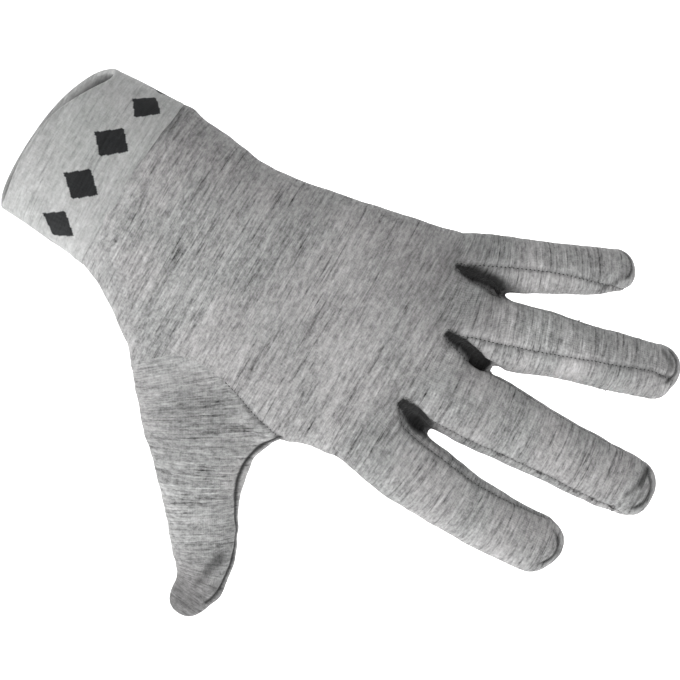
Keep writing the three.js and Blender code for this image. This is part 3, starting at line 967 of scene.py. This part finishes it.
def cuff_mesh(settings):
    """The cuff: a band of doubled cloth, folded at its rim."""
    sides = 240
    turn = np.linspace(0, 2 * np.pi, sides, endpoint=False)
    cos, sin = np.cos(turn), np.sin(turn)
    across, deep = squared(cos), squared(sin)
    seam = hand_rings(sides)
    seam = seam[np.abs(seam[:, 0, 0] - CUFF_LENGTH).argmin()]
    seam_x = CUFF_LENGTH + SEAM_SLANT * across
    rim_x = np.interp(np.degrees(turn), *np.array(RIM, float).T)
    for _ in range(14):
        rim_x = (np.roll(rim_x, 3) + rim_x + np.roll(rim_x, -3)) / 3
    wall = settings.cuff_wall / MM
    soft = 0.25 + 0.5 * ramp(across * 33, -22, 40)
    around = np.cumsum(np.hypot(np.diff(across * 30, append=across[0] * 30),
                                np.diff(deep * 21, append=deep[0] * 21)))
    phase = around / around[-1] * settings.lozenges * 2 * np.pi
    # How far along from the rim to the seam, and how far inwards through the wall
    profile = [(1 - t * (1 - FOLD_SHARE), 0.0) for t in np.linspace(0, 1, 48)]
    profile += [(FOLD_SHARE * (1 - np.sin(t)), (1 - np.cos(t)) / 2) for t in np.linspace(0, np.pi, 11)[1:-1]]
    profile += [(FOLD_SHARE + t * (1 - FOLD_SHARE), 1.0) for t in np.linspace(0, 1, 26)]
    points, place, band = [], [], []
    for along, inset in profile:
        low = (1 - along) * 36
        end = bell((1 - along) * CUFF_LENGTH, 1.6) * (1 - inset)
        proud = 0.6 * soft * along**0.5 * (1 - end) - 0.75 * soft * end - inset * wall
        hem = -0.2 * bell(low - 5.4, 0.6) - 0.12 * bell(low - 1.9, 0.5)
        wave = np.array([noise.noise(Vector((low / 14, c * 2.1, s * 2.1))) for c, s in zip(cos, sin)]) * 0.5
        proud = proud + hem * (1 - inset) + wave
        flare = along**1.7
        z = (1 - flare) * across * RIM_WIDTH / 2 + flare * seam[:, 2]
        y = (1 - flare) * deep * RIM_DEPTH / 2 + flare * seam[:, 1]
        x = (1 - along) * rim_x + along * seam_x
        points.append(np.stack([x, y + deep * proud, z + across * proud], 1))
        place.append(np.stack([x + CUFF_PLACE, points[-1][:, 2], points[-1][:, 1]], 1))
        level = np.full(sides, low if inset < 0.5 else LINING_LEVEL - low)
        band.append(np.stack([np.cos(phase), np.sin(phase), level], 1))
    rows = len(profile)
    faces = []
    for r in range(rows):
        n = (r + 1) % rows
        for i in range(sides):
            j = (i + 1) % sides
            faces.append((r * sides + i, r * sides + j, n * sides + j, n * sides + i))
    mesh = mesh_of("cuff", np.concatenate(points) * MM, faces)
    write_attribute(mesh, "cloth", "FLOAT_VECTOR", np.concatenate(place))
    write_attribute(mesh, "band", "FLOAT_VECTOR", np.concatenate(band))
    mesh.shade_smooth()
    return mesh


# Materials


class Number:
    """A number in a shader tree. Arithmetic on it adds Math nodes."""

    def __init__(self, finish, socket):
        self.finish, self.socket = finish, socket

    def worked(self, operation, *others, swap=False):
        values = [self, *others]
        if swap:
            values.reverse()
        sockets = {i: value for i, value in enumerate(values)}
        return self.finish.add("ShaderNodeMath", {"operation": operation}, sockets)

    def __add__(self, other):
        return self.worked("ADD", other)

    __radd__ = __add__

    def __mul__(self, other):
        return self.worked("MULTIPLY", other)

    __rmul__ = __mul__

    def __sub__(self, other):
        return self.worked("SUBTRACT", other)

    def __rsub__(self, other):
        return self.worked("SUBTRACT", other, swap=True)

    def __truediv__(self, other):
        return self.worked("DIVIDE", other)

    def __rtruediv__(self, other):
        return self.worked("DIVIDE", other, swap=True)

    def __abs__(self):
        return self.worked("ABSOLUTE")

    def wave(self, length):
        return (self * (2 * math.pi / length)).worked("SINE")

    def stepped(self, size):
        return (self / size + 0.5).worked("FLOOR") * size

    def below(self, limit):
        return self.worked("LESS_THAN", limit)

    def rising(self, low, high):
        sockets = {"Value": self, "From Min": low, "From Max": high}
        return self.finish.add("ShaderNodeMapRange", {"interpolation_type": "SMOOTHSTEP"}, sockets)


class Finish:
    """A material whose nodes are added one call at a time."""

    def __init__(self, name):
        self.material = bpy.data.materials.new(name)
        self.material.use_nodes = True
        self.tree = self.material.node_tree
        self.tree.nodes.clear()

    def add(self, kind, settings=None, sockets=None, out=0):
        node = self.tree.nodes.new(kind)
        for key, value in (settings or {}).items():
            setattr(node, key, value)
        for key, value in (sockets or {}).items():
            if isinstance(value, Number):
                self.tree.links.new(value.socket, node.inputs[key])
            else:
                node.inputs[key].default_value = value
        return Number(self, node.outputs[out])

    def attribute(self, name, out="Vector"):
        return self.add("ShaderNodeAttribute", {"attribute_name": name}, out=out)

    def parts(self, vector):
        node = self.add("ShaderNodeSeparateXYZ", None, {0: vector}).socket.node
        return [Number(self, socket) for socket in node.outputs]

    def joined(self, x, y, z):
        return self.add("ShaderNodeCombineXYZ", None, {0: x, 1: y, 2: z})

    def cloud(self, vector, detail=2.0, roughness=0.5):
        sockets = {"Vector": vector, "Scale": 1.0, "Detail": detail, "Roughness": roughness}
        return self.add("ShaderNodeTexNoise", {"noise_dimensions": "3D"}, sockets)

    def enlarged(self, vector, scale):
        return self.add("ShaderNodeVectorMath", {"operation": "SCALE"}, {0: vector, "Scale": scale})

    def product(self, first, second):
        return self.add("ShaderNodeVectorMath", {"operation": "MULTIPLY"}, {0: first, 1: second})

    def scaled(self, colour, amount):
        return self.product(colour, self.joined(amount, amount, amount))

    def blended(self, share, first, second):
        node = self.tree.nodes.new("ShaderNodeMix")
        node.data_type = "RGBA"
        for key, value in ((0, share), (6, first), (7, second)):
            if isinstance(value, Number):
                self.tree.links.new(value.socket, node.inputs[key])
            else:
                node.inputs[key].default_value = (*value, 1.0) if key else value
        return Number(self, node.outputs[2])

    def cloth(self, colour, roughness, height, distance, sheen):
        bump = self.add("ShaderNodeBump", None, {"Strength": 1.0, "Distance": distance, "Height": height})
        sockets = {"Base Color": colour, "Roughness": roughness, "Normal": bump, "Sheen Weight": sheen,
                   "Sheen Roughness": 0.55, "Specular IOR Level": 0.15}
        shader = self.add("ShaderNodeBsdfPrincipled", None, sockets)
        self.add_output(shader)
        return self.material

    def add_output(self, shader):
        output = self.tree.nodes.new("ShaderNodeOutputMaterial")
        self.tree.links.new(shader.socket, output.inputs["Surface"])


def melange(finish, contrast):
    """The knit's tone round 1 and its relief, from the place in the cloth."""
    along, across, through = finish.parts(finish.attribute("cloth"))
    noises, tone = {}, 0
    for name, (fine, broad, roughness, shift, weight) in LAYERS.items():
        place = finish.joined(along * fine + shift, across * broad, through * broad)
        noises[name] = finish.cloud(place, roughness=roughness)
        if weight:
            tone = tone + (noises[name] - 0.5) * weight
    dark = (1 - noises["strands"].rising(0.3, 0.47)) * noises["gaps"].rising(0.36, 0.62)
    light = noises["threads"].rising(0.55, 0.72)
    tone = 1.03 + (tone + light * 0.1 - dark * 0.38) * contrast
    courses = along.wave(0.95) * 0.14
    columns = (across + through * 0.6).wave(0.85) * 0.13
    fibres = (noises["threads"] - 0.5) * 0.8 + (noises["flecks"] - 0.5) * 0.65
    return tone, courses + columns + fibres - dark * 0.35, noises["patches"]


def body_material(colour):
    finish = Finish("melange_jersey")
    tone, relief, patches = melange(finish, 1.0)
    seam = finish.attribute("seam", "Fac")
    deep = finish.attribute("deep", "Fac")
    # Painted shade in the creases along the seams, the tone's painted light and shade, and the painted shade
    # held in deep
    crease = 1 - seam.rising(0.1, 1.5)
    tone = tone * finish.attribute("tone", "Fac") * (1 - crease * 0.34)
    tone = tone * (1 - deep.rising(0.05, 0.9) * 0.93)
    tint = finish.blended(patches.rising(0.35, 0.65), (0.99, 1.0, 0.995), (1.012, 0.998, 1.0))
    shade = finish.scaled(finish.product(tint, tuple(colour)), tone.worked("MAXIMUM", 0.02))
    return finish.cloth(shade, 0.93, relief, 0.25 * MM, 0.12)


def cuff_material(colour, dark):
    finish = Finish("cuff_jersey")
    tone, relief, patches = melange(finish, 0.52)
    cos, sin, low = finish.parts(finish.attribute("band"))
    turn = sin.worked("ARCTAN2", cos)
    aside = abs(turn) * (8.6 / math.pi)
    off = abs(low.stepped(0.55) - 13.6)
    figure = (aside.stepped(0.6) / 6.1 + off / 6.9).below(1.0)
    tint = finish.blended(patches.rising(0.35, 0.65), (0.985, 1.0, 0.99), (1.0, 1.0, 1.0))
    light = finish.scaled(finish.product(tint, tuple(colour)), tone)
    black = finish.scaled(finish.joined(*dark), tone)
    shade = finish.blended(figure, light, black)
    # Painted shade on the lining inside the cuff, past its first few millimetres from the rim
    shade = finish.scaled(shade, 1 - low.rising(60.8, 64.0) * 0.62)
    return finish.cloth(shade, 0.93, relief, 0.2 * MM, 0.12)


def thread_material(colour):
    finish = Finish("sewing_thread")
    place = finish.add("ShaderNodeTexCoord", out="Object")
    fibres = finish.cloud(finish.enlarged(place, 2600.0))
    shade = finish.blended(fibres, tuple(v * 0.75 for v in colour), tuple(v * 1.25 for v in colour))
    return finish.cloth(shade, 0.85, fibres, 0.05 * MM, 0.1)


def studio_material(name, colour, glow):
    finish = Finish(name)
    place = finish.add("ShaderNodeTexCoord", out="Object")
    cloud = finish.cloud(finish.enlarged(place, 3.0))
    shade = finish.blended(cloud, tuple(v * 0.995 for v in colour), tuple(colour))
    sockets = {"Base Color": shade, "Roughness": 0.95}
    sockets.update({"Emission Color": (1, 1, 1, 1), "Emission Strength": glow})
    finish.add_output(finish.add("ShaderNodeBsdfPrincipled", None, sockets))
    return finish.material


# Stitches


def stitch_tree():
    """Lays one short bar of thread after another along a curve."""
    tree = bpy.data.node_groups.new("Stitch row", "GeometryNodeTree")
    face = tree.interface
    face.new_socket("Geometry", in_out="OUTPUT", socket_type="NodeSocketGeometry")
    face.new_socket("Geometry", in_out="INPUT", socket_type="NodeSocketGeometry")
    for name in ("Spacing", "Length", "Thread"):
        face.new_socket(name, in_out="INPUT", socket_type="NodeSocketFloat")
    face.new_socket("Material", in_out="INPUT", socket_type="NodeSocketMaterial")

    def add(kind, **settings):
        node = tree.nodes.new(kind)
        for key, value in settings.items():
            setattr(node, key, value)
        return node

    given = add("NodeGroupInput")
    result = add("NodeGroupOutput")
    curve = add("GeometryNodeMeshToCurve")
    spaced = add("GeometryNodeResampleCurve", mode="LENGTH")
    bar = add("GeometryNodeMeshUVSphere")
    bar.inputs["Segments"].default_value = 8
    bar.inputs["Rings"].default_value = 6
    bar.inputs["Radius"].default_value = 0.5
    size = add("ShaderNodeCombineXYZ")
    flat = add("ShaderNodeMath", operation="MULTIPLY")
    flat.inputs[1].default_value = 0.6
    tangent = add("GeometryNodeInputTangent")
    up = add("GeometryNodeInputNamedAttribute", data_type="FLOAT_VECTOR")
    up.inputs["Name"].default_value = "up"
    first = add("FunctionNodeAlignRotationToVector", axis="X")
    second = add("FunctionNodeAlignRotationToVector", axis="Z", pivot_axis="X")
    laid = add("GeometryNodeInstanceOnPoints")
    real = add("GeometryNodeRealizeInstances")
    smooth = add("GeometryNodeSetShadeSmooth")
    finish = add("GeometryNodeSetMaterial")
    for a, out, b, into in (
        (given, "Geometry", curve, 0),
        (curve, 0, spaced, "Curve"),
        (given, "Spacing", spaced, "Length"),
        (given, "Length", size, 0),
        (given, "Thread", size, 1),
        (given, "Thread", flat, 0),
        (flat, 0, size, 2),
        (tangent, 0, first, "Vector"),
        (first, 0, second, "Rotation"),
        (up, 0, second, "Vector"),
        (spaced, 0, laid, "Points"),
        (bar, "Mesh", laid, "Instance"),
        (second, 0, laid, "Rotation"),
        (size, 0, laid, "Scale"),
        (laid, 0, real, 0),
        (real, 0, smooth, 0),
        (smooth, 0, finish, 0),
        (given, "Material", finish, "Material"),
        (finish, 0, result, 0),
    ):
        tree.links.new(a.outputs[out], b.inputs[into])
    return tree


def sewn_runs(points, ups):
    """The stretches of the thumb's own seam, from the side of the thumb on, where its stitches show."""
    shown = points[:, 0] > STITCHED_FROM
    start = int(np.argmin(shown))
    points, ups, shown = [np.roll(v, -start, axis=0) for v in (points, ups, shown)]
    runs, begun = [], None
    for i, value in enumerate([*shown, False]):
        if value and begun is None:
            begun = i
        elif not value and begun is not None:
            if i - begun > 4:
                runs.append((points[begun:i], ups[begun:i], False))
            begun = None
    return runs


def lay_stitches(name, rows, tree, settings, material):
    """rows holds pairs of points and outward directions along each seam, in millimetres."""
    points, ups, edges = [], [], []
    for path, up, closed in rows:
        start = len(points)
        points += [tuple(p * MM) for p in path - STITCH_SINK * up]
        ups += [tuple(u) for u in up]
        edges += [(start + i, start + i + 1) for i in range(len(path) - 1)]
        if closed:
            edges.append((start + len(path) - 1, start))
    mesh = mesh_of(name, points, [], edges)
    write_attribute(mesh, "up", "FLOAT_VECTOR", np.array(ups))
    piece = piece_of(name, mesh)
    laid = piece.modifiers.new("Stitches", "NODES")
    laid.node_group = tree
    values = {"Spacing": settings.spacing, "Length": settings.length, "Thread": settings.thread,
              "Material": material}
    for item in tree.interface.items_tree:
        if item.in_out == "INPUT" and item.name in values:
            laid[item.identifier] = values[item.name]
    return settled(piece)


# Operators

# What the stitches' operator needs of the cloth
made = {}


class GLOVE_OT_cloth(bpy.types.Operator):
    """Makes the hand shell, the thumb and the side strips"""

    bl_idname = "glove.cloth"
    bl_label = "Cloth pieces"

    def execute(self, context):
        settings = context.scene.glove_cloth
        pieces, rims, where, normals, inner = make_cloth_pieces(settings)
        material = body_material(settings.body_colour)
        for piece in pieces:
            piece.data.materials.clear()
            piece.data.materials.append(material)
            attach(piece, "root")
            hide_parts(piece.name.replace("cloth_", ""))
        made.update(rims=rims, where=where, normals=normals, inner=inner)
        return {"FINISHED"}


class GLOVE_OT_cuff(bpy.types.Operator):
    """Makes the doubled cuff"""

    bl_idname = "glove.cuff"
    bl_label = "Cuff"

    def execute(self, context):
        settings = context.scene.glove_cloth
        piece = piece_of("cloth_cuff", cuff_mesh(settings))
        piece.data.materials.append(cuff_material(settings.cuff_colour, settings.band_colour))
        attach(piece, "root")
        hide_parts("cuff")
        return {"FINISHED"}


class GLOVE_OT_stitches(bpy.types.Operator):
    """Sews the seams of the thumb and the side strips"""

    bl_idname = "glove.stitches"
    bl_label = "Stitches"

    def execute(self, context):
        settings = context.scene.glove_stitches
        tree = stitch_tree()
        material = thread_material(settings.colour)
        where, normals = made["where"], made["normals"]
        for name, loops in made["rims"].items():
            rows = []
            for row, closed in loops:
                if name == "thumb":
                    rows += sewn_runs(where[row], normals[row])
                else:
                    rows.append((where[row], normals[row], closed))
            if name == "thumb":
                rows.append((made["inner"][:, 0], made["inner"][:, 1], False))
            piece = lay_stitches("stitches_" + name, rows, tree, settings, material)
            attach(piece, "root")
        return {"FINISHED"}


class GLOVE_OT_stage(bpy.types.Operator):
    """Sets up the floor, the backdrop, the lights and the camera"""

    bl_idname = "glove.stage"
    bl_label = "Stage"

    def execute(self, context):
        make_stage(context.scene.glove_stage)
        return {"FINISHED"}


def make_stage(settings):
    scene = bpy.context.scene
    scene.view_settings.view_transform = "Standard"
    scene.view_settings.look = "None"
    tilt = math.radians(VIEW_TILT)
    right = Vector((math.cos(tilt), 0, math.sin(tilt)))
    up = Vector((-math.sin(tilt), 0, math.cos(tilt)))
    back = right.cross(up)
    middle = Vector(VIEW_MIDDLE) * MM

    half = STUDIO_HALF
    corners = [(-half, -half), (half, -half), (half, half), (-half, half)]
    floor = piece_of("floor", mesh_of("floor", [(x, y, FLOOR_Z) for x, y in corners], [(0, 1, 2, 3)]))
    wall_points = [(x, BACKDROP_Y, z + 2) for x, z in corners]
    wall = piece_of("backdrop", mesh_of("backdrop", wall_points, [(0, 1, 2, 3)]))
    for piece, glow in ((floor, settings.floor_glow), (wall, settings.wall_glow)):
        piece.data.materials.append(studio_material("studio_" + piece.name, settings.floor_colour, glow))

    camera = bpy.data.cameras.new("camera")
    camera.sensor_width = 36
    camera.lens = camera.sensor_width * settings.distance / (VIEW_WIDTH * MM)
    camera.clip_start = 0.05
    holder = bpy.data.objects.new("camera", camera)
    holder.matrix_world = Matrix.Translation(middle + back * settings.distance) @ Matrix(
        (right, up, back)
    ).transposed().to_4x4()
    bpy.context.collection.objects.link(holder)
    scene.camera = holder

    world = bpy.data.worlds.new("studio")
    world.use_nodes = True
    background = world.node_tree.nodes["Background"]
    background.inputs["Color"].default_value = (1, 1, 1, 1)
    background.inputs["Strength"].default_value = settings.fill
    scene.world = world

    side, height, front, size = KEY_LIGHT
    lamp = bpy.data.lights.new("key", "AREA")
    lamp.shape = "DISK"
    lamp.size = size
    lamp.energy = settings.key_power
    place = middle + right * side + up * height + back * front
    stand = bpy.data.objects.new("key", lamp)
    aim = (place - middle).to_track_quat("Z", "Y")
    stand.matrix_world = Matrix.Translation(place) @ aim.to_matrix().to_4x4()
    bpy.context.collection.objects.link(stand)


class GLOVE_PT_panel(bpy.types.Panel):
    """Lists the glove's parts and its settings"""

    bl_idname = "GLOVE_PT_panel"
    bl_label = "Glove Liner"
    bl_space_type = "VIEW_3D"
    bl_region_type = "UI"
    bl_category = "Glove Liner"

    def draw(self, context):
        layout = self.layout
        for operator in OPERATORS:
            layout.operator(operator.bl_idname)
        for name in ("glove_cloth", "glove_stitches", "glove_stage"):
            settings = getattr(context.scene, name)
            box = layout.box()
            for key in settings.__annotations__:
                box.prop(settings, key)


OPERATORS = (GLOVE_OT_cloth, GLOVE_OT_cuff, GLOVE_OT_stitches, GLOVE_OT_stage)
CLASSES = (GloveClothSettings, GloveStitchSettings, GloveStageSettings, *OPERATORS, GLOVE_PT_panel)


def register():
    for cls in CLASSES:
        bpy.utils.register_class(cls)
    bpy.types.Scene.glove_cloth = PointerProperty(type=GloveClothSettings)
    bpy.types.Scene.glove_stitches = PointerProperty(type=GloveStitchSettings)
    bpy.types.Scene.glove_stage = PointerProperty(type=GloveStageSettings)


def unregister():
    del bpy.types.Scene.glove_stage
    del bpy.types.Scene.glove_stitches
    del bpy.types.Scene.glove_cloth
    for cls in reversed(CLASSES):
        bpy.utils.unregister_class(cls)


def main():
    register()
    bpy.ops.glove.stage()
    bpy.ops.glove.cloth()
    bpy.ops.glove.cuff()
    bpy.ops.glove.stitches()


if __name__ == "__main__":
    main()
